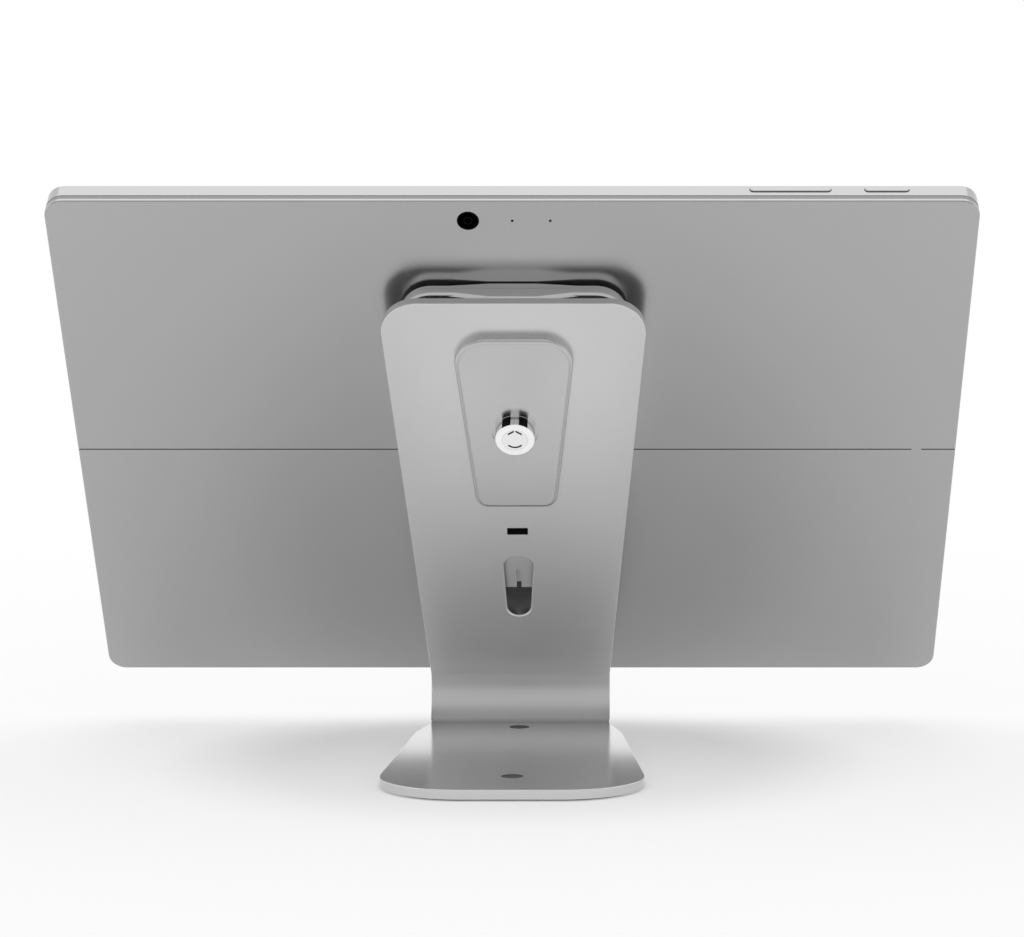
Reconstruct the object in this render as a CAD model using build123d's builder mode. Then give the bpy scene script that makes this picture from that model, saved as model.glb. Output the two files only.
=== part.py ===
"""Security stand for a tablet, with the tablet locked on it.

One tapered metal plate is bent into a base and an upright that leans back over it. A head of two plates
joins the upright to the back of the tablet, and a key lock through the upright blocks the head.

Millimetres, +Z up. The screen faces -Y and the lock faces +Y. The origin is on the underside of the base,
halfway between its two holes. In the leaning planes below, x runs towards -X and y runs up the upright from
the inner corner of the bend.
"""
from build123d import *
from math import cos, radians, sin, tan
import os

os.makedirs("parts", exist_ok=True)

STANDING = (Align.CENTER, Align.CENTER, Align.MIN)
HANGING = (Align.CENTER, Align.CENTER, Align.MAX)

# Stand plate
lean = 36.0
plate_thick = 3.0
bend_radius = 10.0
neck_width = 62.6
edge_break = 0.3
base_front_length = 78.1
hole_spacing = 96.0
hole_dia = 7.0
base_rear_length = 71.7
neck_straight = 2.5
neck_flare_radius = 20.0
shoulder_width = 70.6
shoulder_setback = 42.1
shoulder_radius = 40.0
base_end_width = 87.0
base_corner_radius = 26.0
upright_length = 181.3
upright_top_width = 85.9
upright_corner_radius = 11.5

# Base pad
pad_thick = 0.6
pad_inset = 2.0
pad_hole_dia = 9.0

# Slots in the upright, measured down from its top
security_slot_drop = 95.3
security_slot_width = 7.0
security_slot_height = 3.0
security_slot_corner = 0.3
cable_slot_drop = 106.7
cable_slot_length = 27.3
cable_slot_top_width = 10.2
cable_slot_bottom_width = 8.2
slot_edge_break = 0.4

# Lock housing
housing_drop = 12.3
housing_length = 70.0
housing_top_width = 40.0
housing_bottom_width = 26.5
housing_top_radius = 10.0
housing_bottom_radius = 4.5
housing_thick = 3.2
housing_edge_break = 1.4
lock_drop = 49.65
lock_seat_dia = 15.0
lock_seat_depth = 0.6
dowel_dia = 3.0
dowel_spread = 24.0
dowel_rise = 12.0
dowel_in_plate = 2.5
dowel_in_housing = 2.0

# Lock
barrel_head_dia = 13.0
barrel_head_height = 4.7
barrel_edge_break = 0.3
barrel_body_dia = 11.0
barrel_overhang = 0.2
window_width = 2.7
window_spacing = 5.5
window_foot = 0.2
window_floor = 0.4
window_rim = 0.2
plug_dia = 8.4
plug_clearance = 0.04
tail_width = 4.0
tail_clearance = 0.05
keyway_width = 0.6
keyway_depth = 2.5
keyway_arc_radius = 2.95
keyway_arc_middle = 270.0
keyway_arc_span = 84.0
keyway_slot_length = 1.9
keyway_slot_spread = 2.5
keyway_slot_rise = 3.1
keyway_slot_tilt = 34.0
nut_across_flats = 14.0
nut_thick = 2.0
cam_gap = 0.1
cam_thick = 1.4
cam_hub_dia = 10.0
cam_width = 5.0
cam_corner_radius = 1.25
cam_reach = 14.0
cam_screw_head_dia = 7.0
cam_screw_head_thick = 1.2
cam_screw_dia = 2.5
cam_screw_depth = 4.0
cam_screw_slot_width = 1.0
cam_screw_slot_depth = 0.6

# Head: dock plate fixed to the upright, tablet plate bonded to the tablet
head_top_width = 73.6
head_bottom_width = 55.9
head_length = 125.5
head_top_radius = 10.0
head_bottom_radius = 6.0
head_edge_break = 0.65
bond_thick = 1.8
plate_side_thick = 1.2
plate_spine_rise = 1.2
head_seam = 0.1
dock_side_thick = 2.9
dock_spine_rise = 2.4
dock_spine_end_break = 1.0
spine_flat = 15.0
spine_ramp = 13.0
spine_length = 104.0
lock_window_radius = 16.0
slot_pocket_width = 16.0
slot_pocket_height = 8.0
slot_pocket_depth = 4.0
head_slit_width = 1.6
head_slit_length = 8.0
bond_inset = 4.5

# Screws that hold the dock plate to the upright
head_screw_dia = 4.0
head_screw_head_dia = 7.5
head_screw_head_thick = 2.2
head_screw_length = 7.0
head_screw_spacing = 10.0
head_screw_rise = 25.0
head_screw_key = 2.5
head_screw_key_depth = 1.2
thread_clearance = 0.1
thread_runout = 0.3

# Shoulder studs in keyhole slots, and the keeper that the cam blocks
stud_spread = 49.0
stud_upper_drop = 22.0
stud_lower_drop = 105.0
stud_neck_dia = 4.0
stud_head_dia = 7.0
stud_head_thick = 1.5
stud_shank_dia = 3.0
stud_clearance = 0.1
keyhole_lift = 9.0
keyhole_clearance = 0.4
keeper_width = 6.0
keeper_height = 4.0
keeper_thick = 3.3
keeper_gap = 0.4
keeper_offset = 7.0
rivet_dia = 1.6
rivet_spacing = 3.0
rivet_in_plate = 1.0
rivet_in_keeper = 2.0

# Tablet
tablet_width = 292.1
tablet_height = 201.4
tablet_thick = 8.5
tablet_corner_radius = 6.0
tablet_above_upright = 31.4
shell_wall = 2.2
shell_back = 1.0
shell_floor = 0.8
shell_edge_break = 0.3
glass_thick = 0.7
glass_rim = 0.7
glass_gap = 0.05
vent_inset = 1.2
vent_width = 1.9
vent_depth = 1.0
seam_drop = 100.3
seam_gap = 0.4
kickstand_thick = 1.4
kickstand_gap = 0.1
seam_bridge_width = 3.3
seam_bridge_inset = 13.05
seam_bridge_gap = 0.02
part_gap = 0.1

# Tablet, inside
display_side_border = 11.05
display_end_border = 10.7
display_thick = 2.3
battery_width = 96.0
battery_height = 62.0
battery_spacing = 104.0
battery_drop = 148.0
board_width = 190.0
board_height = 62.0
board_thick = 1.2
board_drop = 60.0
chip_width = 18.0
chip_height = 14.0
chip_thick = 1.3
chip_spacing = 46.0
hinge_inset = 34.05
hinge_pin_dia = 2.8
hinge_pin_length = 24.0
hinge_rise = 4.0
hinge_arm_width = 10.0
hinge_arm_drop = 8.0
hinge_arm_clearance = 0.4
speaker_width = 5.0
speaker_height = 30.0
speaker_thick = 3.6
speaker_inset = 6.45
speaker_drop = 66.0
speaker_slot_width = 1.2
speaker_slot_height = 14.0

# Cameras and microphones
camera_place = 13.85
camera_drop = 7.5
camera_dia = 7.0
camera_clearance = 0.05
camera_recess = 0.08
camera_module_width = 9.0
camera_module_thick = 4.2
front_camera_width = 6.0
front_camera_thick = 3.8
front_camera_drop = 6.0
mic_hole_dia = 0.9
mic_dia = 3.0
mic_thick = 1.2
mic_spacing = 11.9

# Buttons on the top edge
button_depth = 6.1
button_thick = 2.2
button_rise = 0.4
button_slot_gap = 0.2
button_edge_break = 0.15
rocker_width = 25.3
rocker_inset = 59.1
power_width = 13.8
power_inset = 28.95
flange_margin = 0.7
flange_side_margin = 0.4
flange_thick = 0.6
rocker_flange_gap = 0.45
power_flange_gap = 0.05
lug_width = 2.4
lug_height = 1.5
lug_thick = 1.2
lug_clearance = 0.2
pin_dia = 0.8
pin_clearance = 0.03
ear_gap = 0.1
ear_thick = 0.5
ear_top_gap = 0.2
dome_dia = 2.2
dome_gap = 0.3
rocker_dome_spacing = 18.0
nub_dia = 1.8
nub_height = 0.25
bracket_thick = 0.8
bracket_margin = 2.0

# Sockets in the side edges
socket_depth = 4.6
charge_width = 9.0
charge_thick = 3.2
charge_length = 8.0
charge_wall = 0.3
charge_tongue_thick = 0.7
charge_drop = 140.0
jack_dia = 5.0
jack_hole_dia = 3.6
jack_length = 8.0
jack_drop = 30.0
jack_lip = 0.3

# Overrun of every cut past the faces that it opens, and the slack in telling which plane an edge lies in
overrun = 1.0
touch = 0.001

# Places worked out from the sizes above
base_top = pad_thick + plate_thick
bend_run = bend_radius / tan(radians((90.0 - lean) / 2))
bend_start = bend_run - base_front_length
tablet_top = upright_length + tablet_above_upright
tablet_middle = tablet_top - tablet_height / 2
seam_height = tablet_top - seam_drop
seam_bridge_place = tablet_width / 2 - seam_bridge_inset
hinge_place = tablet_width / 2 - hinge_inset
speaker_place = tablet_width / 2 - speaker_inset
rocker_place = tablet_width / 2 - rocker_inset
power_place = tablet_width / 2 - power_inset
display_width = tablet_width - 2 * display_side_border
display_height = tablet_height - 2 * display_end_border
lock_height = upright_length - lock_drop
head_bottom = upright_length - head_length
plate_back = bond_thick + plate_side_thick
dock_front = plate_back + head_seam
dock_side_back = dock_front + dock_side_thick
dock_back = dock_side_back + dock_spine_rise
upright_back = dock_back + plate_thick

# Leaning planes: x towards -X, y up the upright, z from the screen towards the lock
leaning_up = (0, sin(radians(lean)), cos(radians(lean)))
leaning_out = (0, cos(radians(lean)), -sin(radians(lean)))
upright_face = Plane(origin=(0, -base_front_length, base_top), x_dir=(-1, 0, 0), z_dir=leaning_out)
tablet_face = upright_face.offset(-upright_back)


def leaning(height, across=0.0, depth=0.0):
    """A plane parallel to the tablet's back, at a place on it and a depth behind it."""
    return Plane(
        origin=tablet_face.from_local_coords((across, height, depth)),
        x_dir=tablet_face.x_dir,
        z_dir=tablet_face.z_dir,
    )


def across_plane(height):
    """A plane square to the upright: x towards +X, y from the tablet's back towards the lock."""
    return Plane(origin=tablet_face.from_local_coords((0, height, 0)), x_dir=(1, 0, 0), z_dir=leaning_up)


def edge_plane(height):
    """A plane along the tablet's top edge: x towards -X, y from the tablet's back towards the screen."""
    return Plane(
        origin=tablet_face.from_local_coords((0, height, 0)), x_dir=(-1, 0, 0), z_dir=leaning_up
    )


def side_plane(across, facing):
    """A plane along a side edge of the tablet: x up the tablet, z towards +X or -X."""
    return Plane(
        origin=tablet_face.from_local_coords((across, tablet_middle, 0)),
        x_dir=leaning_up,
        z_dir=(facing, 0, 0),
    )


def in_plane(edge, plane):
    """Whether both ends of an edge lie in a plane."""
    return all(abs(plane.to_local_coords(corner.center()).Z) < touch for corner in edge.vertices())


def tapered(plane, top, bottom, top_width, bottom_width, top_radius, bottom_radius, inset=0.0):
    """A rounded trapezoid, symmetric about the centre line."""
    with BuildSketch(plane) as outline:
        with BuildLine():
            Polyline(
                (-top_width / 2, top),
                (top_width / 2, top),
                (bottom_width / 2, bottom),
                (-bottom_width / 2, bottom),
                close=True,
            )
        make_face()
        fillet(outline.vertices().group_by(Axis.Y)[-1], top_radius)
        if bottom_radius:
            fillet(outline.vertices().group_by(Axis.Y)[0], bottom_radius)
        if inset:
            offset(amount=-inset, mode=Mode.REPLACE)
    return outline.sketch


def head_outline(depth, inset=0.0):
    """The outline that both plates of the head share."""
    return tapered(
        leaning(0, 0, depth),
        upright_length,
        head_bottom,
        head_top_width,
        head_bottom_width,
        head_top_radius,
        head_bottom_radius,
        inset,
    )


def base_outline(height, inset=0.0):
    """The base seen from above, from the bend to its free end."""
    with BuildSketch(Plane.XY.offset(height)) as outline:
        with BuildLine():
            right = Polyline(
                (neck_width / 2, bend_start),
                (neck_width / 2, bend_start + neck_straight),
                (shoulder_width / 2, shoulder_setback - base_front_length),
                (base_end_width / 2, base_rear_length),
                (0, base_rear_length),
            )
            mirror(right, about=Plane.YZ)
            Line((neck_width / 2, bend_start), (-neck_width / 2, bend_start))
        make_face()
        rear_end = outline.vertices().group_by(Axis.Y)[-1]
        fillet(rear_end.filter_by(lambda corner: abs(corner.X) > touch), base_corner_radius)
        fillet(outline.vertices().group_by(Axis.Y)[2], shoulder_radius)
        fillet(outline.vertices().group_by(Axis.Y)[1], neck_flare_radius)
        if inset:
            offset(amount=-inset, mode=Mode.REPLACE)
    return outline.sketch


def tablet_outline(depth, inset=0.0):
    """The tablet's rounded outline, or a smaller one inside it."""
    with BuildSketch(leaning(tablet_middle, 0, depth)) as outline:
        RectangleRounded(
            tablet_width - 2 * inset, tablet_height - 2 * inset, tablet_corner_radius - inset
        )
    return outline.sketch


# The bent plate: base, bend and upright, with its two base holes and the cuts in the upright
base_face = Plane.XY.offset(base_top)
bend_centre = (bend_start, base_top + bend_radius)
screw_places = [
    leaning(lock_height + rise, across, upright_back)
    for rise in (-head_screw_rise, head_screw_rise)
    for across in (-head_screw_spacing / 2, head_screw_spacing / 2)
]
dowel_places = [(-dowel_spread / 2, lock_height + dowel_rise), (dowel_spread / 2, lock_height + dowel_rise)]

with BuildPart() as stand_plate:
    extrude(base_outline(pad_thick), amount=plate_thick)
    with BuildSketch(Plane.YZ):
        with BuildLine():
            inner = CenterArc(bend_centre, bend_radius, 180 - lean, 90 + lean)
            outer = CenterArc(bend_centre, bend_radius + plate_thick, 180 - lean, 90 + lean)
            Line(inner @ 0, outer @ 0)
            Line(inner @ 1, outer @ 1)
        make_face()
    extrude(amount=neck_width / 2, both=True)
    upright_outline = tapered(
        upright_face, upright_length, bend_run, upright_top_width, neck_width, upright_corner_radius, 0
    )
    extrude(upright_outline, amount=-plate_thick)
    base_rim = stand_plate.edges().filter_by(
        lambda edge: in_plane(edge, base_face) and edge.center().Y > bend_start + touch
    )
    upright_rim = stand_plate.edges().filter_by(
        lambda edge: in_plane(edge, upright_face)
        and upright_face.to_local_coords(edge.center()).Y > bend_run + touch
    )
    bend_rim = (
        stand_plate.edges()
        .filter_by(GeomType.CIRCLE)
        .filter_by(lambda edge: abs(edge.radius - bend_radius) < touch and abs(edge.center().X) > touch)
    )
    fillet(base_rim + upright_rim + bend_rim, edge_break)
    with Locations((0, -hole_spacing / 2, base_top), (0, hole_spacing / 2, base_top)):
        Hole(hole_dia / 2, depth=plate_thick + overrun)
    with Locations(leaning(lock_height, 0, upright_back)):
        Hole(barrel_body_dia / 2 + thread_clearance, depth=plate_thick + overrun)
    with Locations(*screw_places):
        Hole(head_screw_dia / 2 + thread_clearance, depth=plate_thick + overrun)
        Cone(
            head_screw_dia / 2 + thread_clearance,
            head_screw_head_dia / 2 + thread_clearance,
            head_screw_head_thick,
            align=HANGING,
            mode=Mode.SUBTRACT,
        )
    with BuildSketch(upright_face):
        with Locations(*dowel_places):
            Circle(dowel_dia / 2 + part_gap / 2)
    extrude(amount=-(dowel_in_plate + part_gap), mode=Mode.SUBTRACT)
    with BuildSketch(upright_face):
        with Locations((0, upright_length - security_slot_drop)):
            RectangleRounded(security_slot_width, security_slot_height, security_slot_corner)
    extrude(amount=-(plate_thick + overrun), mode=Mode.SUBTRACT)
    with BuildSketch(upright_face):
        cable_slot_top = upright_length - cable_slot_drop
        with Locations((0, cable_slot_top - cable_slot_top_width / 2)):
            Circle(cable_slot_top_width / 2)
        with Locations((0, cable_slot_top - cable_slot_length + cable_slot_bottom_width / 2)):
            Circle(cable_slot_bottom_width / 2)
        make_hull()
    extrude(amount=-(plate_thick + overrun), mode=Mode.SUBTRACT)
    slot_rim = stand_plate.edges(Select.LAST).filter_by(lambda edge: in_plane(edge, upright_face))
    chamfer(slot_rim, slot_edge_break)

# The pad under the base
with BuildPart() as base_pad:
    extrude(base_outline(0, pad_inset), amount=pad_thick)
    with Locations((0, -hole_spacing / 2, pad_thick), (0, hole_spacing / 2, pad_thick)):
        Hole(pad_hole_dia / 2, depth=pad_thick + overrun)

# The lock housing on the upright, and the dowels that locate it
housing_top = upright_length - housing_drop
housing_face = upright_face.offset(housing_thick)

with BuildPart() as lock_housing:
    housing_outline = tapered(
        upright_face,
        housing_top,
        housing_top - housing_length,
        housing_top_width,
        housing_bottom_width,
        housing_top_radius,
        housing_bottom_radius,
    )
    extrude(housing_outline, amount=housing_thick)
    housing_rim = lock_housing.edges().filter_by(lambda edge: in_plane(edge, housing_face))
    fillet(housing_rim, housing_edge_break)
    with Locations(leaning(lock_height, 0, upright_back + housing_thick)):
        CounterBoreHole(
            barrel_body_dia / 2 + thread_clearance,
            lock_seat_dia / 2,
            lock_seat_depth,
            housing_thick + overrun,
        )
    with BuildSketch(upright_face):
        with Locations(*dowel_places):
            Circle(dowel_dia / 2 + part_gap / 2)
    extrude(amount=dowel_in_housing + part_gap, mode=Mode.SUBTRACT)

with BuildPart() as housing_dowels:
    with BuildSketch(upright_face.offset(-dowel_in_plate)):
        with Locations(*dowel_places):
            Circle(dowel_dia / 2)
    extrude(amount=dowel_in_plate + dowel_in_housing)

# The screws that hold the dock plate, countersunk in the upright under the housing
with BuildPart() as head_screws:
    with Locations(*screw_places):
        Cylinder(head_screw_dia / 2, head_screw_length, align=HANGING)
        Cone(
            head_screw_dia / 2,
            head_screw_head_dia / 2,
            head_screw_head_thick,
            align=HANGING,
        )
    with BuildSketch(*screw_places):
        RegularPolygon(head_screw_key / 2, 6, major_radius=False)
    extrude(amount=-head_screw_key_depth, mode=Mode.SUBTRACT)

# The lock: a collar through the upright, its nut, the plug that the key turns, the cam and its screw
barrel_seat = upright_back + housing_thick - lock_seat_depth
barrel_top = barrel_seat + barrel_head_height
barrel_bottom = dock_back - nut_thick - barrel_overhang
cam_back = barrel_bottom - cam_gap
cam_front = cam_back - cam_thick

with BuildPart() as lock_barrel:
    with Locations(leaning(lock_height, 0, barrel_seat)):
        Cylinder(barrel_head_dia / 2, barrel_head_height, align=STANDING)
    fillet(
        lock_barrel.edges().filter_by(lambda edge: in_plane(edge, leaning(lock_height, 0, barrel_top))),
        barrel_edge_break,
    )
    with Locations(leaning(lock_height, 0, barrel_bottom)):
        Cylinder(barrel_body_dia / 2, barrel_seat - barrel_bottom, align=STANDING)
        Cylinder(
            plug_dia / 2 + plug_clearance,
            barrel_top - barrel_bottom + overrun,
            align=STANDING,
            mode=Mode.SUBTRACT,
        )
    window_bottom = barrel_seat + window_foot
    for side in (-1, 1):
        with Locations(
            leaning(lock_height + plug_dia / 2 + window_floor, side * window_spacing / 2, window_bottom)
        ):
            Box(
                window_width,
                barrel_head_dia,
                barrel_top - window_rim - window_bottom,
                align=(Align.CENTER, Align.MIN, Align.MIN),
                mode=Mode.SUBTRACT,
            )

with BuildPart() as barrel_nut:
    with BuildSketch(leaning(lock_height, 0, dock_back - nut_thick)):
        RegularPolygon(nut_across_flats / 2, 6, major_radius=False)
        Circle(barrel_body_dia / 2 + thread_clearance, mode=Mode.SUBTRACT)
    extrude(amount=nut_thick)

keyway_arc_start = keyway_arc_middle - keyway_arc_span / 2
keyway_arc = CenterArc((0, 0), keyway_arc_radius, keyway_arc_start, keyway_arc_span)

with BuildPart() as lock_plug:
    with Locations(leaning(lock_height, 0, barrel_bottom)):
        Cylinder(plug_dia / 2, barrel_top - barrel_bottom, align=STANDING)
    with Locations(leaning(lock_height, 0, cam_front)):
        Box(tail_width, tail_width, barrel_bottom - cam_front, align=STANDING)
    with BuildSketch(leaning(lock_height, 0, barrel_top)):
        SlotArc(keyway_arc, keyway_width)
        for side in (-1, 1):
            with Locations((side * keyway_slot_spread / 2, keyway_slot_rise)):
                SlotCenterToCenter(keyway_slot_length, keyway_width, rotation=-side * keyway_slot_tilt)
    extrude(amount=-keyway_depth, mode=Mode.SUBTRACT)
    with Locations(leaning(lock_height, 0, cam_front)):
        Cylinder(
            cam_screw_dia / 2 + tail_clearance,
            cam_screw_depth + thread_runout,
            align=STANDING,
            mode=Mode.SUBTRACT,
        )

with BuildPart() as lock_cam:
    with BuildSketch(leaning(lock_height, 0, cam_front)):
        with Locations((-cam_reach / 2, 0)):
            RectangleRounded(cam_reach, cam_width, cam_corner_radius)
        Circle(cam_hub_dia / 2)
        Rectangle(tail_width + 2 * tail_clearance, tail_width + 2 * tail_clearance, mode=Mode.SUBTRACT)
    extrude(amount=cam_thick)

with BuildPart() as cam_screw:
    with Locations(leaning(lock_height, 0, cam_front)):
        Cylinder(cam_screw_head_dia / 2, cam_screw_head_thick, align=HANGING)
        Cylinder(cam_screw_dia / 2, cam_screw_depth, align=STANDING)
    with Locations(leaning(lock_height, 0, cam_front - cam_screw_head_thick)):
        Box(
            cam_screw_slot_width,
            cam_screw_head_dia + overrun,
            cam_screw_slot_depth,
            align=STANDING,
            mode=Mode.SUBTRACT,
        )

# The head: the dock plate with its spine, window, keyholes and pocket, and the plate bonded to the tablet
stud_places = [
    (side * stud_spread / 2, upright_length - drop)
    for drop in (stud_upper_drop, stud_lower_drop)
    for side in (-1, 1)
]
keeper_middle = lock_height - cam_width / 2 - keeper_gap - keeper_height / 2
keeper_across = -(keeper_offset + keeper_width / 2)
rivet_places = [
    (keeper_across - rivet_spacing / 2, keeper_middle),
    (keeper_across + rivet_spacing / 2, keeper_middle),
]


def head_spine(foot, side, crest, end_break=0.0):
    """The raised middle of a head plate, from its flat foot to its crest between two ramps."""
    half_width = spine_flat / 2 + spine_ramp
    with BuildPart() as spine:
        with BuildSketch(across_plane(head_bottom - overrun)):
            with BuildLine():
                Polyline(
                    (-half_width, foot),
                    (-half_width, side),
                    (-spine_flat / 2, crest),
                    (spine_flat / 2, crest),
                    (half_width, side),
                    (half_width, foot),
                    close=True,
                )
            make_face()
        extrude(amount=head_length + 2 * overrun)
        extrude(head_outline(min(foot, crest)), amount=abs(crest - foot), mode=Mode.INTERSECT)
        if end_break > 0:
            end_level = across_plane(upright_length)
            raised_end = spine.edges().filter_by(
                lambda edge: in_plane(edge, end_level)
                and tablet_face.to_local_coords(edge.center()).Z > side + touch
            )
            chamfer(raised_end, end_break)
    return spine.part


dock_spine = head_spine(dock_front, dock_side_back, dock_back, dock_spine_end_break)
plate_spine = head_spine(plate_back, bond_thick, bond_thick - plate_spine_rise)

with BuildPart() as dock_head:
    extrude(head_outline(dock_front), amount=dock_side_thick)
    side_level = leaning(0, 0, dock_side_back)
    chamfer(dock_head.edges().filter_by(lambda edge: in_plane(edge, side_level)), head_edge_break)
    add(dock_spine)
    with Locations(leaning(head_bottom - overrun, 0, dock_side_back)):
        Box(
            spine_flat + 2 * spine_ramp + 2 * overrun,
            head_length - spine_length + overrun,
            dock_spine_rise + overrun,
            align=(Align.CENTER, Align.MIN, Align.MIN),
            mode=Mode.SUBTRACT,
        )
    with Locations(leaning(lock_height, 0, dock_front - overrun)):
        Cylinder(
            lock_window_radius, dock_back - dock_front + 2 * overrun, align=STANDING, mode=Mode.SUBTRACT
        )
    with BuildSketch(leaning(0, 0, dock_front - overrun)):
        for across, height in stud_places:
            with Locations((across, height + keyhole_lift / 2)):
                SlotCenterToCenter(keyhole_lift, stud_neck_dia + keyhole_clearance, rotation=90)
            with Locations((across, height + keyhole_lift)):
                Circle(stud_head_dia / 2 + keyhole_clearance)
    extrude(amount=dock_side_thick + 2 * overrun, mode=Mode.SUBTRACT)
    with Locations(*[place.offset(-plate_thick) for place in screw_places]):
        Hole(head_screw_dia / 2 + thread_clearance, depth=head_screw_length - plate_thick + thread_runout)
    with Locations(leaning(upright_length - security_slot_drop, 0, dock_back)):
        Box(slot_pocket_width, slot_pocket_height, slot_pocket_depth, align=HANGING, mode=Mode.SUBTRACT)
    with Locations(leaning(head_bottom, 0, dock_front - overrun)):
        Box(
            head_slit_width,
            head_slit_length,
            dock_side_thick + 2 * overrun,
            align=(Align.CENTER, Align.MIN, Align.MIN),
            mode=Mode.SUBTRACT,
        )

with BuildPart() as tablet_plate:
    extrude(head_outline(bond_thick), amount=plate_side_thick)
    add(plate_spine)
    with Locations(*[leaning(height, across, plate_back) for across, height in stud_places]):
        Hole(stud_shank_dia / 2 + tail_clearance, depth=plate_side_thick + overrun)
    with Locations(*[leaning(height, across, plate_back) for across, height in rivet_places]):
        Hole(rivet_dia / 2 + tail_clearance, depth=rivet_in_plate + part_gap)

with BuildPart() as plate_studs:
    with Locations(*[leaning(height, across, plate_back) for across, height in stud_places]):
        Cylinder(stud_shank_dia / 2, plate_side_thick, align=HANGING)
        Cylinder(stud_neck_dia / 2, dock_side_back + stud_clearance - plate_back, align=STANDING)
    stud_head_depth = dock_side_back + stud_clearance
    with Locations(*[leaning(height, across, stud_head_depth) for across, height in stud_places]):
        Cylinder(stud_head_dia / 2, stud_head_thick, align=STANDING)

with BuildPart() as lock_keeper:
    with Locations(leaning(keeper_middle, keeper_across, plate_back)):
        Box(keeper_width, keeper_height, keeper_thick, align=STANDING)
    with Locations(*[leaning(height, across, plate_back) for across, height in rivet_places]):
        Cylinder(
            rivet_dia / 2 + tail_clearance, rivet_in_keeper + part_gap, align=STANDING, mode=Mode.SUBTRACT
        )

with BuildPart() as keeper_rivets:
    rivet_foot = plate_back - rivet_in_plate
    with Locations(*[leaning(height, across, rivet_foot) for across, height in rivet_places]):
        Cylinder(rivet_dia / 2, rivet_in_plate + rivet_in_keeper, align=STANDING)

with BuildPart() as adhesive_pads:
    extrude(head_outline(0, bond_inset), amount=bond_thick)
    with Locations(leaning(head_bottom, 0, 0)):
        Box(
            spine_flat + 2 * spine_ramp + 2 * part_gap,
            head_length,
            bond_thick,
            align=(Align.CENTER, Align.MIN, Align.MIN),
            mode=Mode.SUBTRACT,
        )
    with Locations(leaning(head_bottom + bond_inset, 0, 0)):
        Box(
            spine_flat,
            head_length - 2 * bond_inset,
            bond_thick - plate_spine_rise,
            align=(Align.CENTER, Align.MIN, Align.MIN),
        )

# The tablet's shell: walls, back, kickstand recess, vent groove and openings
glass_back = tablet_thick - glass_thick
recess_depth = kickstand_thick + kickstand_gap
floor_depth = recess_depth + shell_floor
inner_back = shell_back + part_gap
step_height = seam_height + seam_gap / 2
socket_side = tablet_width / 2 - jack_lip


def lower_half(plane, top):
    """A wide rectangle from below the tablet up to a height."""
    with BuildSketch(plane) as region:
        with Locations((0, top)):
            Rectangle(tablet_width + 2 * overrun, tablet_height, align=(Align.CENTER, Align.MAX))
    return region.sketch


with BuildPart() as rear_shell:
    extrude(tablet_outline(-tablet_thick), amount=tablet_thick)
    chamfer(rear_shell.edges().filter_by(lambda edge: in_plane(edge, tablet_face)), shell_edge_break)
    screen_face = leaning(0, 0, -tablet_thick)
    chamfer(rear_shell.edges().filter_by(lambda edge: in_plane(edge, screen_face)), shell_edge_break)
    extrude(tablet_outline(-tablet_thick, glass_rim), amount=glass_thick, mode=Mode.SUBTRACT)
    shell_inside = tablet_outline(-tablet_thick, shell_wall)
    extrude(shell_inside, amount=tablet_thick - floor_depth, mode=Mode.SUBTRACT)
    with BuildSketch(leaning(tablet_middle, 0, -floor_depth - overrun)):
        RectangleRounded(
            tablet_width - 2 * shell_wall, tablet_height - 2 * shell_wall, tablet_corner_radius - shell_wall
        )
        with Locations((0, step_height + shell_floor - tablet_middle)):
            Rectangle(tablet_width, tablet_height, align=(Align.CENTER, Align.MAX), mode=Mode.SUBTRACT)
    extrude(amount=floor_depth + overrun - shell_back, mode=Mode.SUBTRACT)
    extrude(lower_half(leaning(0, 0, -recess_depth), step_height), amount=recess_depth, mode=Mode.SUBTRACT)
    with BuildSketch(leaning(tablet_middle, 0, -vent_inset)):
        Rectangle(tablet_width + 2 * overrun, tablet_height + 2 * overrun)
        RectangleRounded(
            tablet_width - 2 * vent_depth,
            tablet_height - 2 * vent_depth,
            tablet_corner_radius - vent_depth,
            mode=Mode.SUBTRACT,
        )
        with Locations((0, step_height + shell_floor - tablet_middle)):
            Rectangle(
                tablet_width + 2 * overrun,
                tablet_height,
                align=(Align.CENTER, Align.MAX),
                mode=Mode.SUBTRACT,
            )
    extrude(amount=-vent_width, mode=Mode.SUBTRACT)
    with Locations(leaning(tablet_top - camera_drop, -camera_place, 0)):
        Hole(camera_dia / 2, depth=shell_back + overrun)
    with Locations(*[leaning(tablet_top - camera_drop, across, 0) for across in (0, mic_spacing)]):
        Hole(mic_hole_dia / 2, depth=shell_back + overrun)
    with BuildSketch(edge_plane(tablet_top)):
        for place, width in ((rocker_place, rocker_width), (power_place, power_width)):
            with Locations((place, button_depth)):
                SlotOverall(width + 2 * button_slot_gap, button_thick + 2 * button_slot_gap)
    extrude(amount=-(shell_wall + overrun), mode=Mode.SUBTRACT)
    with BuildSketch(side_plane(tablet_width / 2, -1)):
        with Locations((tablet_height / 2 - charge_drop, -socket_depth)):
            SlotOverall(charge_width + 2 * part_gap, charge_thick + 2 * part_gap)
    extrude(amount=-(shell_wall + overrun), mode=Mode.SUBTRACT)
    with BuildSketch(side_plane(-tablet_width / 2, 1)):
        with Locations((tablet_height / 2 - jack_drop, socket_depth)):
            Circle(jack_dia / 2 + part_gap)
    extrude(amount=-(shell_wall + overrun), mode=Mode.SUBTRACT)
    for side in (-1, 1):
        with Locations(leaning(step_height + shell_floor, side * hinge_place, -floor_depth - overrun)):
            Box(
                hinge_arm_width + 2 * hinge_arm_clearance,
                hinge_arm_drop + 2 * hinge_arm_clearance,
                shell_floor + 2 * overrun,
                align=(Align.CENTER, Align.MAX, Align.MIN),
                mode=Mode.SUBTRACT,
            )

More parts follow.
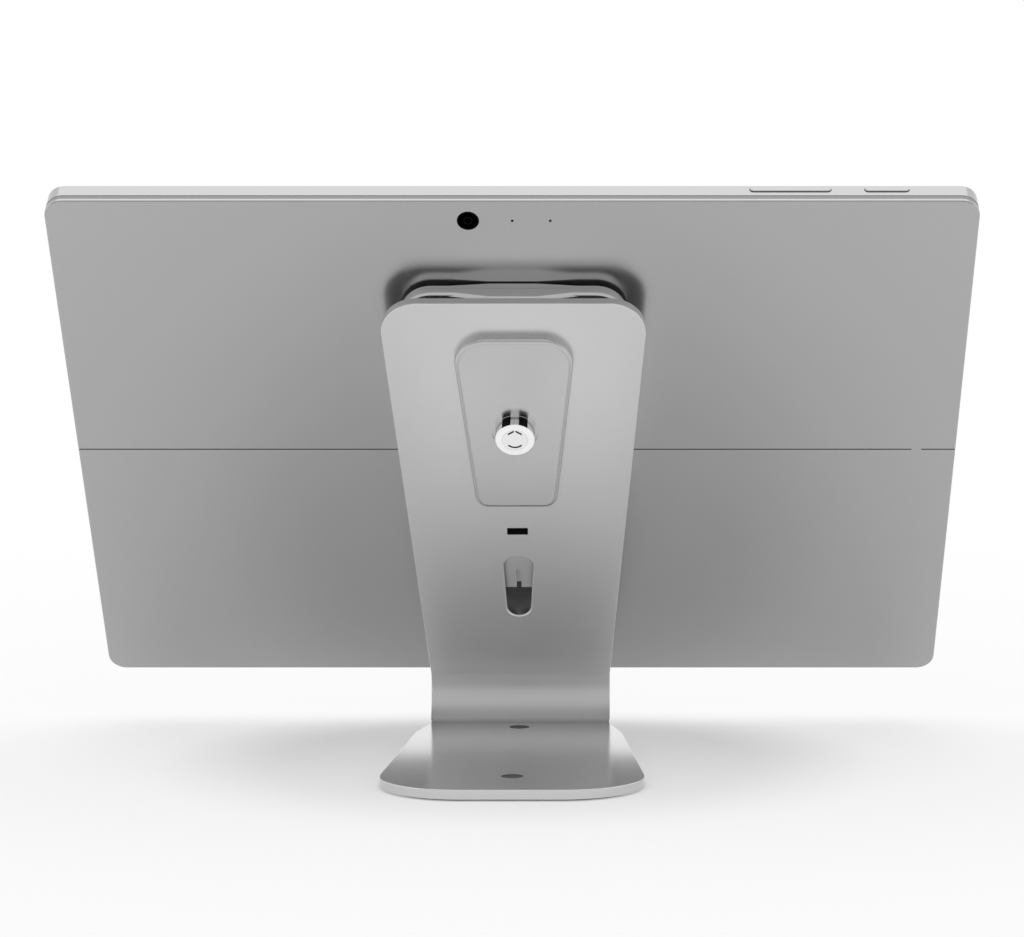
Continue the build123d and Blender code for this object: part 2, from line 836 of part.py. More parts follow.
# The kickstand: the lower half of the back, with the short bridge that crosses its seam
with BuildPart() as kickstand:
    extrude(tablet_outline(-kickstand_thick), amount=kickstand_thick)
    chamfer(kickstand.edges().filter_by(lambda edge: in_plane(edge, tablet_face)), shell_edge_break)
    extrude(
        lower_half(leaning(0, 0, -kickstand_thick), seam_height - seam_gap / 2),
        amount=kickstand_thick,
        mode=Mode.INTERSECT,
    )
    with Locations(leaning(seam_height - seam_gap / 2, seam_bridge_place, -kickstand_thick)):
        Box(
            seam_bridge_width,
            seam_gap - seam_bridge_gap,
            kickstand_thick,
            align=(Align.CENTER, Align.MIN, Align.MIN),
        )

# The kickstand's hinges: a barrel in the shell and an arm that reaches under the kickstand
hinge_height = seam_height + hinge_rise
arm_back = recess_depth - part_gap / 2

with BuildPart() as kickstand_hinges:
    for side in (-1, 1):
        with Locations(leaning(hinge_height, side * hinge_place, -inner_back - hinge_pin_dia / 2)):
            Cylinder(hinge_pin_dia / 2, hinge_pin_length, rotation=(0, 90, 0))
        with Locations(leaning(hinge_height, side * hinge_place, -arm_back)):
            Box(
                hinge_arm_width,
                hinge_rise + hinge_arm_drop - seam_gap,
                shell_floor - part_gap,
                align=(Align.CENTER, Align.MAX, Align.MAX),
            )

# The front: cover glass with its two speaker slots, and the display behind it
with BuildPart() as cover_glass:
    extrude(tablet_outline(-tablet_thick, glass_rim + glass_gap), amount=glass_thick - glass_gap)
    with BuildSketch(leaning(tablet_top - speaker_drop, 0, -tablet_thick - overrun)):
        with Locations((-speaker_place, 0), (speaker_place, 0)):
            SlotOverall(speaker_slot_height, speaker_slot_width, rotation=90)
    extrude(amount=glass_thick + 2 * overrun, mode=Mode.SUBTRACT)

with BuildPart() as display_panel:
    with Locations(leaning(tablet_middle, 0, -glass_back)):
        Box(display_width, display_height, display_thick, align=STANDING)

# The inside, from the display to the back
display_back = glass_back - display_thick
battery_back = floor_depth + part_gap

with BuildPart() as battery_cells:
    for side in (-1, 1):
        with Locations(leaning(tablet_top - battery_drop, side * battery_spacing / 2, -battery_back)):
            Box(battery_width, battery_height, display_back - part_gap - battery_back, align=HANGING)

with BuildPart() as main_board:
    with Locations(leaning(tablet_top - board_drop, 0, -inner_back)):
        Box(board_width, board_height, board_thick, align=HANGING)
    with Locations(leaning(tablet_top - board_drop, 0, -inner_back - board_thick)):
        with GridLocations(chip_spacing, chip_spacing, 3, 1):
            Box(chip_width, chip_height, chip_thick, align=HANGING)

with BuildPart() as speakers:
    with Locations(leaning(tablet_top - speaker_drop, 0, -glass_back + part_gap)):
        with Locations((-speaker_place, 0), (speaker_place, 0)):
            Box(speaker_width, speaker_height, speaker_thick, align=STANDING)

# Cameras and microphones
camera_height = tablet_top - camera_drop

with BuildPart() as camera_lens:
    with Locations(leaning(camera_height, -camera_place, -camera_recess)):
        Cylinder(camera_dia / 2 - camera_clearance, shell_back - camera_recess, align=HANGING)

with BuildPart() as camera_module:
    with Locations(leaning(camera_height, -camera_place, -shell_back - part_gap / 2)):
        Box(camera_module_width, camera_module_width, camera_module_thick, align=HANGING)

with BuildPart() as front_camera:
    with Locations(leaning(tablet_top - front_camera_drop, 0, -glass_back + part_gap)):
        Box(front_camera_width, front_camera_width, front_camera_thick, align=STANDING)

with BuildPart() as mic_inserts:
    mic_back = -shell_back - part_gap / 2
    with Locations(*[leaning(camera_height, across, mic_back) for across in (0, mic_spacing)]):
        Cylinder(mic_dia / 2, mic_thick, align=HANGING)

# The volume rocker tilts about a pin in the button bracket, and the power button slides in
rocker_flange_top = tablet_top - shell_wall - rocker_flange_gap
rocker_flange_bottom = rocker_flange_top - flange_thick
power_flange_top = tablet_top - shell_wall - power_flange_gap
power_flange_bottom = power_flange_top - flange_thick
pin_height = rocker_flange_bottom - lug_height / 2
bracket_top = rocker_flange_bottom - lug_height - lug_clearance
button_crown = edge_plane(tablet_top + button_rise)

with BuildPart() as volume_rocker:
    with BuildSketch(button_crown):
        with Locations((rocker_place, button_depth)):
            SlotOverall(rocker_width, button_thick)
    extrude(amount=-(tablet_top + button_rise - rocker_flange_top))
    chamfer(volume_rocker.edges().filter_by(lambda edge: in_plane(edge, button_crown)), button_edge_break)
    with BuildSketch(edge_plane(rocker_flange_top)):
        with Locations((rocker_place, button_depth)):
            Rectangle(rocker_width + 2 * flange_margin, button_thick + 2 * flange_side_margin)
    extrude(amount=-flange_thick)
    with BuildSketch(edge_plane(rocker_flange_bottom)):
        with Locations((rocker_place, button_depth)):
            Rectangle(lug_width, lug_thick)
    extrude(amount=-lug_height)
    with Locations(leaning(pin_height, rocker_place, -button_depth)):
        Cylinder(pin_dia / 2 + pin_clearance, lug_thick + overrun, mode=Mode.SUBTRACT)

with BuildPart() as power_button:
    with BuildSketch(button_crown):
        with Locations((power_place, button_depth)):
            SlotOverall(power_width, button_thick)
    extrude(amount=-(tablet_top + button_rise - power_flange_top))
    chamfer(power_button.edges().filter_by(lambda edge: in_plane(edge, button_crown)), button_edge_break)
    with BuildSketch(edge_plane(power_flange_top)):
        with Locations((power_place, button_depth)):
            Rectangle(power_width + 2 * flange_margin, button_thick + 2 * flange_side_margin)
    extrude(amount=-flange_thick)
    with BuildSketch(edge_plane(power_flange_bottom)):
        with Locations((power_place, button_depth)):
            Circle(nub_dia / 2)
    extrude(amount=-nub_height)

with BuildPart() as rocker_pin:
    with Locations(leaning(pin_height, rocker_place, -button_depth)):
        Cylinder(pin_dia / 2, lug_thick + 2 * (ear_gap + ear_thick))

dome_top = rocker_flange_bottom - dome_gap
bracket_left = rocker_place - rocker_width / 2 - bracket_margin
bracket_right = power_place + power_width / 2 + bracket_margin
bracket_front = glass_back - part_gap

with BuildPart() as button_bracket:
    with BuildSketch(edge_plane(bracket_top)):
        with Locations(((bracket_left + bracket_right) / 2, (inner_back + bracket_front) / 2)):
            Rectangle(bracket_right - bracket_left, bracket_front - inner_back)
    extrude(amount=-bracket_thick)
    with BuildSketch(edge_plane(bracket_top)):
        for side in (-1, 1):
            with Locations((rocker_place, button_depth + side * (lug_thick / 2 + ear_gap + ear_thick / 2))):
                Rectangle(lug_width, ear_thick)
    extrude(amount=rocker_flange_bottom - ear_top_gap - bracket_top)
    with BuildSketch(edge_plane(bracket_top)):
        domes = [
            (rocker_place - rocker_dome_spacing / 2, button_depth),
            (rocker_place + rocker_dome_spacing / 2, button_depth),
            (power_place, button_depth),
        ]
        with Locations(*domes):
            Circle(dome_dia / 2)
    extrude(amount=dome_top - bracket_top)
    with Locations(leaning(pin_height, rocker_place, -button_depth)):
        Cylinder(
            pin_dia / 2 + pin_clearance, lug_thick + 2 * (ear_gap + ear_thick) + overrun, mode=Mode.SUBTRACT
        )

# The sockets in the side edges
with BuildPart() as charge_socket:
    with BuildSketch(side_plane(socket_side, -1)):
        with Locations((tablet_height / 2 - charge_drop, -socket_depth)):
            SlotOverall(charge_width, charge_thick)
    extrude(amount=-charge_length)
    with BuildSketch(side_plane(socket_side, -1)):
        with Locations((tablet_height / 2 - charge_drop, -socket_depth)):
            SlotOverall(charge_width - 2 * charge_wall, charge_thick - 2 * charge_wall)
            Rectangle(charge_width - charge_thick, charge_tongue_thick, mode=Mode.SUBTRACT)
    extrude(amount=-(charge_length - jack_lip), mode=Mode.SUBTRACT)

with BuildPart() as headphone_jack:
    with BuildSketch(side_plane(-socket_side, 1)):
        with Locations((tablet_height / 2 - jack_drop, socket_depth)):
            Circle(jack_dia / 2)
    extrude(amount=-jack_length)
    with BuildSketch(side_plane(-socket_side, 1)):
        with Locations((tablet_height / 2 - jack_drop, socket_depth)):
            Circle(jack_hole_dia / 2)
    extrude(amount=-(jack_length - jack_lip), mode=Mode.SUBTRACT)

pieces = {
    "stand_plate": stand_plate,
    "base_pad": base_pad,
    "lock_housing": lock_housing,
    "housing_dowels": housing_dowels,
    "head_screws": head_screws,
    "lock_barrel": lock_barrel,
    "barrel_nut": barrel_nut,
    "lock_plug": lock_plug,
    "lock_cam": lock_cam,
    "cam_screw": cam_screw,
    "dock_head": dock_head,
    "tablet_plate": tablet_plate,
    "plate_studs": plate_studs,
    "lock_keeper": lock_keeper,
    "keeper_rivets": keeper_rivets,
    "adhesive_pads": adhesive_pads,
    "rear_shell": rear_shell,
    "kickstand": kickstand,
    "kickstand_hinges": kickstand_hinges,
    "cover_glass": cover_glass,
    "display_panel": display_panel,
    "battery_cells": battery_cells,
    "main_board": main_board,
    "speakers": speakers,
    "camera_lens": camera_lens,
    "camera_module": camera_module,
    "front_camera": front_camera,
    "mic_inserts": mic_inserts,
    "volume_rocker": volume_rocker,
    "rocker_pin": rocker_pin,
    "power_button": power_button,
    "button_bracket": button_bracket,
    "charge_socket": charge_socket,
    "headphone_jack": headphone_jack,
}
for name, piece in pieces.items():
    piece.part.label = name
    export_step(piece.part, f"parts/{name}.step")
    print(name, len(piece.part.solids()), round(piece.part.volume, 1))
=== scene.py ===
"""Looks of the security stand and its locked tablet: finishes, small trim pieces and a pale studio.

Metres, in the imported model's own frame: +Z up, the screen faces -Y and the lock faces +Y.
"""
from math import cos, pi, radians, sin

import bmesh
import bpy
from bpy.props import FloatProperty, FloatVectorProperty, PointerProperty
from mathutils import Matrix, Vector


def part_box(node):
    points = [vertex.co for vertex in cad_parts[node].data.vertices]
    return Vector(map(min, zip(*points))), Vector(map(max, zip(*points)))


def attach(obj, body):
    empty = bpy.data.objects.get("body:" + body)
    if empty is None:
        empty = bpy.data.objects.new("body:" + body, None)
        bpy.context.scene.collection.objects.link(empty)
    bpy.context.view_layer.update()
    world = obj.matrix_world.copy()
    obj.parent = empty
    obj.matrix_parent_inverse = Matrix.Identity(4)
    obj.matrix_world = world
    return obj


bl_info = {
    "name": "Security stand looks",
    "version": (1, 0, 0),
    "blender": (4, 5, 0),
    "location": "3D View > Sidebar > Stand",
    "description": "Dresses the security stand and its tablet with finishes and trim, and sets the studio",
    "category": "Object",
}

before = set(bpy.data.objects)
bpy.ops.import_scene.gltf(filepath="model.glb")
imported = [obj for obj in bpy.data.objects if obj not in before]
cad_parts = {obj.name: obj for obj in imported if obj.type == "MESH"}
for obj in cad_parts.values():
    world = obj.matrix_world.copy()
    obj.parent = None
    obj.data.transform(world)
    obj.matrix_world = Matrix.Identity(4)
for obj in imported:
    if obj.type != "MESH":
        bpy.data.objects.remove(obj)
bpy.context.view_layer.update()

# The leaning plane of the tablet's back, from the solids' own source
LEAN = radians(36.0)
UP = Vector((0, sin(LEAN), cos(LEAN)))
OUT = Vector((0, cos(LEAN), -sin(LEAN)))
LEFT = Vector((-1, 0, 0))
BACK = Vector((0, -0.0781, 0.0036)) - 0.0114 * OUT


def leaning(across, height, depth=0.0):
    """A point by its place on the tablet's back and its depth behind it."""
    return BACK + across * LEFT + height * UP + depth * OUT


# Sizes and colours

def colour(name, description, default):
    return FloatVectorProperty(
        name=name, description=description, default=default, size=3, min=0.0, max=1.0, subtype="COLOR"
    )


def share(name, description, default):
    return FloatProperty(
        name=name, description=description, default=default, min=0.0, max=1.0, subtype="FACTOR"
    )


def length(name, description, default):
    return FloatProperty(
        name=name, description=description, default=default, min=0.0, unit="LENGTH", precision=5
    )


class StandLooks(bpy.types.PropertyGroup):
    """Finishes of the stand and its lock."""
    plate_colour: colour("Plate", "Anodised aluminium of the bent plate and the head", (0.69, 0.69, 0.69))
    plate_roughness: share("Plate roughness", "How satin the bent plate is", 0.36)
    base_roughness: share("Base roughness", "How satin the base is, where hands rub it", 0.14)
    housing_colour: colour("Housing", "Finer anodised aluminium of the lock housing", (0.53, 0.53, 0.53))
    housing_roughness: share("Housing roughness", "How satin the lock housing is", 0.24)
    grain: length("Grain", "Size of the blasted grain under the anodising", 0.0005)
    chrome_colour: colour("Chrome", "Plated lock barrel", (0.95, 0.95, 0.96))
    plug_colour: colour("Plug", "Nickel on the lock's plug", (0.78, 0.78, 0.79))
    steel_colour: colour("Steel", "Screws, studs, cam and keeper", (0.56, 0.56, 0.57))
    rubber_colour: colour("Rubber", "Pad under the base", (0.03, 0.03, 0.032))
    foam_colour: colour("Foam", "Adhesive pads behind the tablet plate", (0.14, 0.14, 0.142))
    # Painted shade: this black is painted inside the slots, pocket, keyway, notches and base holes, where
    # shade falls.
    painted_shade_colour: colour("Hollows", "Black inside slots, keyway and notches", (0.002, 0.002, 0.002))


class TabletLooks(bpy.types.PropertyGroup):
    """Finishes of the tablet."""
    shell_colour: colour("Shell", "Satin metal of the shell, kickstand and buttons", (0.455, 0.455, 0.455))
    shell_roughness: share("Shell roughness", "How satin the shell is", 0.23)
    # Partly painted shade: this grey is the vent insert's own and also stands for the shade in the groove.
    vent_and_shade_colour: colour("Vent", "Insert in the vent groove", (0.30, 0.30, 0.30))
    glass_colour: colour("Glass", "Black cover glass", (0.004, 0.004, 0.005))
    display_colour: colour("Display", "Sleeping display under the glass", (0.010, 0.011, 0.013))
    lens_colour: colour("Lens", "Rear camera window", (0.0, 0.0, 0.0))
    board_colour: colour("Board", "Solder mask of the main board", (0.02, 0.11, 0.05))
    cell_colour: colour("Cells", "Battery cell wrap", (0.10, 0.10, 0.11))


class StudioLooks(bpy.types.PropertyGroup):
    """Floor, light and camera."""
    floor_colour: colour("Floor", "Pale sweep under the stand", (0.97, 0.97, 0.97))
    floor_half: length("Floor half width", "From the middle of the floor to its edge", 6.0)
    floor_glow: share("Floor glow", "How much of the near floor's white is its own", 0.6)
    sky_light: share("Surroundings", "How strongly the white surroundings light dull surfaces", 0.85)
    box_power: FloatProperty(
        name="Soft box", description="Power of the wide lamp above", default=6.3, min=0.0, unit="POWER"
    )
    box_side: length("Soft box side", "Length of a side of the wide lamp", 2.0)
    flag_colour: colour("Flag", "Grey card behind the camera that the metal mirrors", (0.62, 0.62, 0.62))
    flag_distance: length("Flag distance", "From the stand to the grey card", 3.0)
    lens: FloatProperty(
        name="Lens", description="Focal length of the camera", default=102.37, subtype="DISTANCE_CAMERA"
    )


# Shader maths

class Signal:
    """One shader socket; arithmetic on it adds the nodes that do the same at every shaded point."""

    def __init__(self, finish, socket):
        self.finish = finish
        self.socket = socket

    def math(self, operation, first, second=0.0):
        return self.finish.add("ShaderNodeMath", {"operation": operation}, {0: first, 1: second})

    def __add__(self, other):
        return self.math("ADD", self, other)

    def __radd__(self, other):
        return self.math("ADD", other, self)

    def __sub__(self, other):
        return self.math("SUBTRACT", self, other)

    def __rsub__(self, other):
        return self.math("SUBTRACT", other, self)

    def __mul__(self, other):
        return self.math("MULTIPLY", self, other)

    def __rmul__(self, other):
        return self.math("MULTIPLY", other, self)

    def __truediv__(self, other):
        return self.math("DIVIDE", self, other)

    def __abs__(self):
        return self.math("ABSOLUTE", self)

    def __lt__(self, other):
        return self.math("LESS_THAN", self, other)

    def __gt__(self, other):
        return self.math("GREATER_THAN", self, other)


class Finish:
    """A node material, world or lamp under construction."""

    def __init__(self, owner):
        owner.use_nodes = True
        self.owner = owner
        self.tree = owner.node_tree

    def add(self, kind, settings=None, sockets=None, output=0):
        """A node of a kind, its settings set first, then its sockets' values or links."""
        node = self.tree.nodes.new(kind)
        for name, value in (settings or {}).items():
            if name == "stops":
                ramp = node.color_ramp
                while len(ramp.elements) < len(value):
                    ramp.elements.new(1.0)
                for element, (place, shade) in zip(ramp.elements, value):
                    element.position = place
                    element.color = (shade, shade, shade, 1.0)
            else:
                setattr(node, name, value)
        for name, value in (sockets or {}).items():
            self.feed(node.inputs[name], value)
        return Signal(self, node.outputs[output])

    def feed(self, socket, value):
        """Links a signal to a socket, or sets its value."""
        if isinstance(value, Signal):
            self.tree.links.new(value.socket, socket)
        elif socket.type == "RGBA" and len(value) == 3:
            socket.default_value = (*value, 1.0)
        else:
            socket.default_value = value

    def place(self):
        """The shaded point in the piece's own metres."""
        return self.add("ShaderNodeTexCoord", output=3)

    def vector(self, operation, first, second):
        return self.add("ShaderNodeVectorMath", {"operation": operation}, {0: first, 1: tuple(second)})

    def along(self, direction, origin):
        """How far the shaded point lies from an origin along a direction, in metres."""
        offset = self.vector("SUBTRACT", self.place(), origin)
        node = self.vector("DOT_PRODUCT", offset, direction).socket.node
        return Signal(self, node.outputs["Value"])

    def noise(self, size, detail=2.0, roughness=0.5, at=None):
        """Cloudy noise from 0 to 1 with features of a size in metres."""
        return self.add(
            "ShaderNodeTexNoise", {},
            {"Vector": at or self.place(), "Scale": 1.0 / size, "Detail": detail, "Roughness": roughness},
        )

    def stretch(self, factors, turn=(0.0, 0.0, 0.0)):
        """The shaded point, turned and scaled along its axes."""
        return self.add(
            "ShaderNodeMapping", {}, {"Vector": self.place(), "Scale": factors, "Rotation": turn}
        )

    def ramp(self, value, *stops):
        return self.add("ShaderNodeValToRGB", {"stops": stops}, {0: value})

    def mix(self, factor, first, second):
        """One colour passing into another."""
        return self.add(
            "ShaderNodeMix", {"data_type": "RGBA"}, {0: factor, 6: first, 7: second}, output=2
        )

    def bump(self, height, distance, strength=1.0):
        return self.add(
            "ShaderNodeBump", {}, {"Height": height, "Distance": distance, "Strength": strength}
        )


def surface(name):
    """A new material's finish and its shader."""
    finish = Finish(bpy.data.materials.new(name))
    return finish, finish.tree.nodes["Principled BSDF"]


def dress(finish, shader, nodes=(), pieces=(), **sockets):
    """Sets the shader's sockets and gives the material to CAD nodes and pieces."""
    for name, value in sockets.items():
        finish.feed(shader.inputs[name.replace("_", " ").title()], value)
    finish.owner.diffuse_color = (*shader.inputs["Base Color"].default_value[:3], 1.0)
    for target in [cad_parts[node] for node in nodes] + list(pieces):
        target.data.materials.clear()
        target.data.materials.append(finish.owner)


def satin_metal(
    name, tint, roughness, grain, nodes, cloud=0.05, depth=0.000006, painted_shade_mask=None, painted_shade_tint=(), rub=None
):
    """Blasted and anodised aluminium: even grain, faint clouds in its sheen, black shade painted in its
    hollows.
    """
    finish, shader = surface(name)
    if rub:
        roughness = rub(finish, roughness)
    fine = finish.noise(grain, detail=3.0)
    clouds = finish.noise(cloud, detail=4.0, roughness=0.6)
    shade = finish.mix(clouds, tuple(0.99 * c for c in tint), tuple(min(1.0, 1.01 * c) for c in tint))
    sheen = roughness - 0.01 + 0.015 * clouds + 0.015 * fine
    metal = 1.0
    # Where the mask is set, black shade is painted in, matt and not metal.
    if painted_shade_mask:
        inside = painted_shade_mask(finish)
        shade = finish.mix(inside, shade, painted_shade_tint)
        sheen = sheen + (0.9 - sheen) * inside
        metal = 1.0 - inside
    dress(
        finish, shader, nodes,
        base_color=shade,
        metallic=metal,
        roughness=sheen,
        normal=finish.bump(fine, depth, 0.6),
    )


def plain_plastic(name, tint, roughness, grain, nodes=(), depth=0.00002, pieces=(), specular=0.5):
    """Moulded plastic, rubber or foam with its grain."""
    finish, shader = surface(name)
    fine = finish.noise(grain, detail=4.0)
    dress(
        finish, shader, nodes, pieces,
        base_color=finish.mix(fine, tuple(0.8 * c for c in tint), tuple(min(1.0, 1.25 * c) for c in tint)),
        roughness=roughness - 0.05 + 0.1 * fine,
        normal=finish.bump(fine, depth),
    )
    shader.inputs["Specular IOR Level"].default_value = specular


# Pieces built here, each riding on the stand

def build(name, shape, body="stand", smooth=False):
    """An object from a bmesh, riding on a body."""
    mesh = bpy.data.meshes.new(name)
    bmesh.ops.recalc_face_normals(shape, faces=shape.faces)
    shape.to_mesh(mesh)
    shape.free()
    for face in mesh.polygons:
        face.use_smooth = smooth
    piece = bpy.data.objects.new(name, mesh)
    bpy.context.scene.collection.objects.link(piece)
    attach(piece, body)
    return piece


def turn(shape, across, height, profile, steps=72):
    """Spins a closed profile of radius and depth about a line square to the tablet's back, as a ring."""
    rings = []
    for radius, depth in profile:
        rings.append([
            shape.verts.new(leaning(across + radius * cos(angle), height + radius * sin(angle), depth))
            for angle in (2 * pi * step / steps for step in range(steps))
        ])
    for inner, outer in zip(rings, rings[1:] + rings[:1]):
        for step in range(steps):
            after = (step + 1) % steps
            shape.faces.new((inner[step], inner[after], outer[after], outer[step]))


def bar(shape, low, high, bevel=0.0):
    """A bar between two corners, each across, height and depth, with its back edges eased."""
    corners = []
    for depth, inset in ((low[2], 0.0), (high[2] - bevel, 0.0), (high[2], bevel)):
        corners.append([
            shape.verts.new(leaning(across, height, depth))
            for across, height in (
                (low[0] + inset, low[1] + inset),
                (high[0] - inset, low[1] + inset),
                (high[0] - inset, high[1] - inset),
                (low[0] + inset, high[1] - inset),
            )
        ])
    for below, above in zip(corners, corners[1:]):
        for side in range(4):
            after = (side + 1) % 4
            shape.faces.new((below[side], below[after], above[after], above[side]))
    shape.faces.new(corners[0])
    shape.faces.new(corners[-1])


# Finishes and masks of the stand

# The lock: its middle on the leaning plane, the depths of its faces and its two notches, in metres
LOCK_HEIGHT = 0.13165
LOCK_FACE = 0.0187
SEAT_FACE = 0.0140
NOTCH_PLACE = 0.00275
NOTCH_HALF = 0.00139
NOTCH_FOOT = 0.00455

# The small slot: half widths and heights of its pocket and walls, and the depths between which they lie
SLOT_HEIGHT = 0.0860
POCKET_HALF = 0.0081
POCKET_RISE = 0.0041
POCKET_FLOOR = 0.0043
POCKET_TOP = 0.0085
SLOT_HALF = 0.0036
SLOT_RISE = 0.0016
SLOT_TOP = 0.0113

# The base: its upper face, its two holes and the height by which its rubbed sheen has passed
BASE_TOP = 0.0036
BASE_EDGE = 0.0003
BOLT_PLACE = 0.04800
BOLT_WALL = 0.00355
# How much of the painted black shade lies on the holes' walls.
BOLT_SHADE = 0.75
RUB_REACH = 0.05


def slot_painted_shade(finish):
    """Inside the small slot of the upright and the pocket of the head behind it, where black shade is
    painted.
    """
    across = abs(finish.along(LEFT, BACK))
    height = abs(finish.along(UP, BACK + SLOT_HEIGHT * UP))
    depth = finish.along(OUT, BACK)
    pocket = (across < POCKET_HALF) * (height < POCKET_RISE) * (depth < POCKET_TOP)
    walls = (across < SLOT_HALF) * (height < SLOT_RISE) * (depth < SLOT_TOP)
    return (pocket + walls) * (depth > POCKET_FLOOR) > 0.5


def bolt_painted_shade(finish):
    """On the walls of the base's two holes, where darker shade is painted."""
    across = abs(finish.along(LEFT, (0, 0, 0)))
    along = abs(abs(finish.along((0, 1, 0), (0, 0, 0))) - BOLT_PLACE)
    height = finish.along((0, 0, 1), (0, 0, 0))
    return (across * across + along * along < BOLT_WALL * BOLT_WALL) * (height < BASE_TOP - BASE_EDGE)


def notch_painted_shade(finish):
    """Inside the two notches of the barrel's head, where black shade is painted."""
    across = abs(abs(finish.along(LEFT, BACK)) - NOTCH_PLACE)
    height = finish.along(UP, BACK + LOCK_HEIGHT * UP)
    depth = finish.along(OUT, BACK)
    inside = (depth > SEAT_FACE + 0.0001) * (depth < LOCK_FACE - 0.00015)
    return (across < NOTCH_HALF) * (height > NOTCH_FOOT) * inside


def keyway_painted_shade(finish):
    """Anything of the plug that lies under its face, where black shade is painted in the keyway."""
    return finish.along(OUT, BACK) < LOCK_FACE - 0.00004


class STAND_OT_plates(bpy.types.Operator):
    """Satin anodised aluminium on the bent plate, the lock housing and the two plates of the head, with
    black shade painted in the small slot, the head's pocket and the base's holes
    """
    bl_idname = "stand.plates"
    bl_label = "Finish the stand's plates"

    def execute(self, context):
        looks = context.scene.stand_looks
        tint = tuple(looks.plate_colour)
        black = tuple(looks.painted_shade_colour)

        # Painted shade: black in the small slot, and three quarters of it on the walls of the base's
        # holes.
        def plate_painted_shade(finish):
            return slot_painted_shade(finish) + BOLT_SHADE * bolt_painted_shade(finish)

        def base_rub(finish, roughness):
            height = finish.along((0, 0, 1), (0, 0, 0))
            smooth = looks.base_roughness / looks.plate_roughness
            return roughness * finish.ramp(
                height / RUB_REACH, (0.075, smooth), (0.12, 1.35), (0.5, 1.2), (0.9, 1.0)
            )

        satin_metal(
            "plate_satin", tint, looks.plate_roughness, looks.grain, ["stand_plate"],
            painted_shade_mask=plate_painted_shade, painted_shade_tint=black, rub=base_rub,
        )
        # The head's pocket behind the small slot is painted black as shade.
        satin_metal(
            "dock_satin", tint, looks.plate_roughness, looks.grain, ["dock_head"],
            painted_shade_mask=slot_painted_shade, painted_shade_tint=black,
        )
        satin_metal(
            "housing_satin", tuple(looks.housing_colour), looks.housing_roughness, looks.grain,
            ["lock_housing"],
        )
        satin_metal("head_satin", tint, looks.plate_roughness, looks.grain, ["tablet_plate"])
        return {"FINISHED"}


class STAND_OT_pads(bpy.types.Operator):
    """Ribbed rubber pad under the base and foam tape behind the tablet plate"""
    bl_idname = "stand.pads"
    bl_label = "Finish the pads"

    def execute(self, context):
        looks = context.scene.stand_looks
        finish, shader = surface("pad_rubber")
        tint = tuple(looks.rubber_colour)
        fine = finish.noise(0.0008, detail=4.0)
        crossed = finish.add(
            "ShaderNodeTexWave", {"wave_type": "BANDS", "bands_direction": "DIAGONAL"},
            {"Vector": finish.place(), "Scale": 120.0, "Distortion": 0.0}, output=1,
        )
        dress(
            finish, shader, ["base_pad"],
            base_color=finish.mix(fine, tuple(0.8 * c for c in tint), tuple(1.3 * c for c in tint)),
            roughness=0.78 + 0.14 * fine,
            normal=finish.bump(crossed + 0.2 * fine, 0.0002),
        )
        plain_plastic("bond_foam", tuple(looks.foam_colour), 0.95, 0.0004, ["adhesive_pads"], 0.00008)
        return {"FINISHED"}


class STAND_OT_lock(bpy.types.Operator):
    """Chrome on the lock barrel and plug, with the hairline scratches that keys leave, and black shade
    painted in the notches and keyway
    """
    bl_idname = "stand.lock"
    bl_label = "Finish the lock"

    def execute(self, context):
        looks = context.scene.stand_looks
        # The notches and keyway are painted black as shade, matt and not metal.
        for name, node, tint, roughness, painted_shade_mask in (
            ("barrel_chrome", "lock_barrel", looks.chrome_colour, 0.20, notch_painted_shade),
            ("plug_nickel", "lock_plug", looks.plug_colour, 0.08, keyway_painted_shade),
        ):
            finish, shader = surface(name)
            smear = finish.noise(0.004, detail=5.0)
            drawn = finish.stretch((1.0, 0.08, 0.08), (0.4, 0.3, 0.8))
            scratch = finish.noise(0.0006, detail=2.0, at=drawn)
            inside = painted_shade_mask(finish)
            sheen = roughness + 0.06 * smear
            dress(
                finish, shader, [node],
                base_color=finish.mix(inside, tuple(tint), tuple(looks.painted_shade_colour)),
                metallic=1.0 - inside,
                roughness=sheen + (0.9 - sheen) * inside,
                normal=finish.bump(scratch, 0.000003),
            )
        return {"FINISHED"}


class STAND_OT_fasteners(bpy.types.Operator):
    """Zinc plated steel on the screws, dowels, nut, cam, studs and keeper"""
    bl_idname = "stand.fasteners"
    bl_label = "Finish the fasteners"

    def execute(self, context):
        looks = context.scene.stand_looks
        nodes = [
            "barrel_nut", "lock_cam", "cam_screw", "head_screws", "housing_dowels", "plate_studs",
            "lock_keeper", "keeper_rivets", "rocker_pin", "kickstand_hinges",
        ]
        finish, shader = surface("zinc_steel")
        tumbled = finish.noise(0.0012, detail=6.0, roughness=0.7)
        spangle = finish.add(
            "ShaderNodeTexVoronoi", {}, {"Vector": finish.place(), "Scale": 900.0}, output=1
        )
        dress(
            finish, shader, nodes,
            base_color=finish.mix(0.06, tuple(looks.steel_colour), spangle),
            metallic=1.0,
            roughness=0.26 + 0.16 * tumbled,
            normal=finish.bump(tumbled, 0.00001),
        )
        return {"FINISHED"}


# Pieces of the tablet

# The tablet's outline on the leaning plane, in metres
TABLET_TOP = 0.2127
TABLET_HALF = 0.14605
CORNER_RADIUS = 0.0060
GLASS_FACE = -0.0085
DISPLAY_HALF = 0.1299
DISPLAY_RISE = 0.0866

# The insert in the vent groove: where it begins, its inset at foot and face, and the depths of its edges.
# Its dark grey is partly the insert's own colour and partly painted shade of the groove
VENT_FOOT = 0.1140
VENT_SECTION = ((0.0010, -0.00125), (0.00012, -0.00125), (0.00012, -0.00305), (0.0010, -0.00305))

